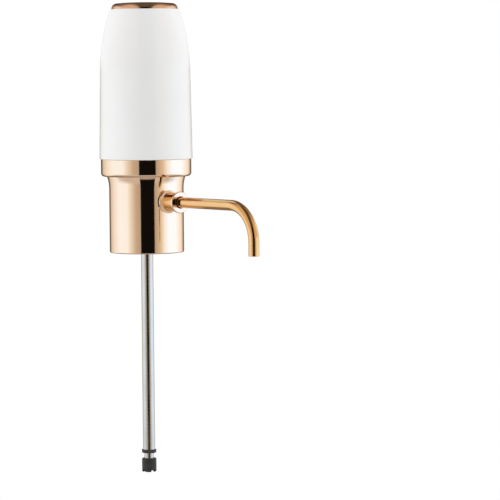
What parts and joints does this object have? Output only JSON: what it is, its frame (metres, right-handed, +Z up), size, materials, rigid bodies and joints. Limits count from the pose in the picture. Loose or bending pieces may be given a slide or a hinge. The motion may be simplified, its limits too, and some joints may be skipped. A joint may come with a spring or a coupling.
{
  "type": "electric wine aerator",
  "caption": "Bottle-top electric wine aerator: bullet-shaped housing with a press button, collar, neck sleeve, silicone stopper, swivelling bent spout and telescopic dip tube.",
  "frame": {"origin": "centre of the stopper flange's underside, where the bottle's rim bears", "axes": "+Z up along the bottle's axis towards the button, +X along the spout, away from the bottle"},
  "size_m": [0.1299, 0.0538, 0.2723],
  "materials": {
    "shell_white": "gloss white moulding",
    "rose_gold": "polished, rose-gold plated",
    "spout_gold": "polished, gold plated",
    "inner_plastic": "dark moulding",
    "pale_plastic": "natural food-safe moulding",
    "silicone": "translucent grey silicone",
    "rubber_black": "black rubber",
    "switch_plastic": "black moulding",
    "steel": "stainless or zinc plated",
    "copper": "wound copper and laminations",
    "brass": "bare brass",
    "ferrite": "sintered ferrite",
    "cell_wrap": "plain shrink wrap over a cell",
    "board_green": "solder-masked board"
  },
  "bodies": {
    "root": {"upper_housing": "shell_white", "button_spring": "steel", "switch_board": "board_green", "board_screws": "steel", "tact_switch": "switch_plastic", "collar": "rose_gold", "bottle_sleeve": "rose_gold", "spout_socket": "rose_gold", "socket_seal": "rubber_black", "spout_seal": "rubber_black", "manifold": "pale_plastic", "frame_screws": "steel", "bottle_stopper": "silicone", "dip_tube_upper": "steel", "dip_tube_bush": "switch_plastic", "chassis": "inner_plastic", "air_hose": "silicone", "check_valve": "rubber_black", "pump_head": "inner_plastic", "valve_flaps": "rubber_black", "valve_plate": "pale_plastic", "diaphragm": "rubber_black", "pump_body": "inner_plastic", "pump_screws": "steel", "motor_screws": "steel", "motor_can": "steel", "motor_magnets": "ferrite", "motor_end_cap": "switch_plastic", "motor_terminals": "brass", "battery_cell": "cell_wrap", "main_board": "board_green", "charge_port": "steel", "port_tongue": "switch_plastic"},
    "button": {"button_cap": "rose_gold", "switch_plunger": "pale_plastic"},
    "spout": {"spout_tube": "spout_gold"},
    "dip_tube": {"dip_tube_lower": "steel", "dip_tube_foot": "switch_plastic"},
    "crank": {"motor_rotor": "copper", "motor_shaft": "steel", "crank_wheel": "pale_plastic", "crank_pin": "steel"},
    "rocker": {"rocker": "pale_plastic"}
  },
  "joints": [
    {"name": "button_press", "type": "slide", "parent": "root", "child": "button", "axis": [0, 0, -1], "range_m": [0, 0.0008], "stiffness_N_per_m": 1500, "springref_m": -0.0006, "deforming": ["button_spring"]},
    {"name": "spout_swivel", "type": "hinge", "parent": "root", "child": "spout", "pos_m": [0.0226, 0, 0.0088], "axis": [1, 0, 0], "continuous": true},
    {"name": "dip_tube_extend", "type": "slide", "parent": "root", "child": "dip_tube", "axis": [0, 0, -1], "range_m": [0, 0.112]},
    {"name": "motor_spin", "type": "hinge", "parent": "root", "child": "crank", "pos_m": [0, -0.006, 0.06], "axis": [0, 0, 1], "continuous": true},
    {"name": "rocker_wobble", "type": "hinge", "parent": "crank", "child": "rocker", "pos_m": [0, -0.006, 0.04069], "axis": [0.1045, 0, 0.9945], "continuous": true}
  ],
  "couplings": [
    {"joint": "rocker_wobble", "follows": "motor_spin", "ratio": -1}
  ]
}
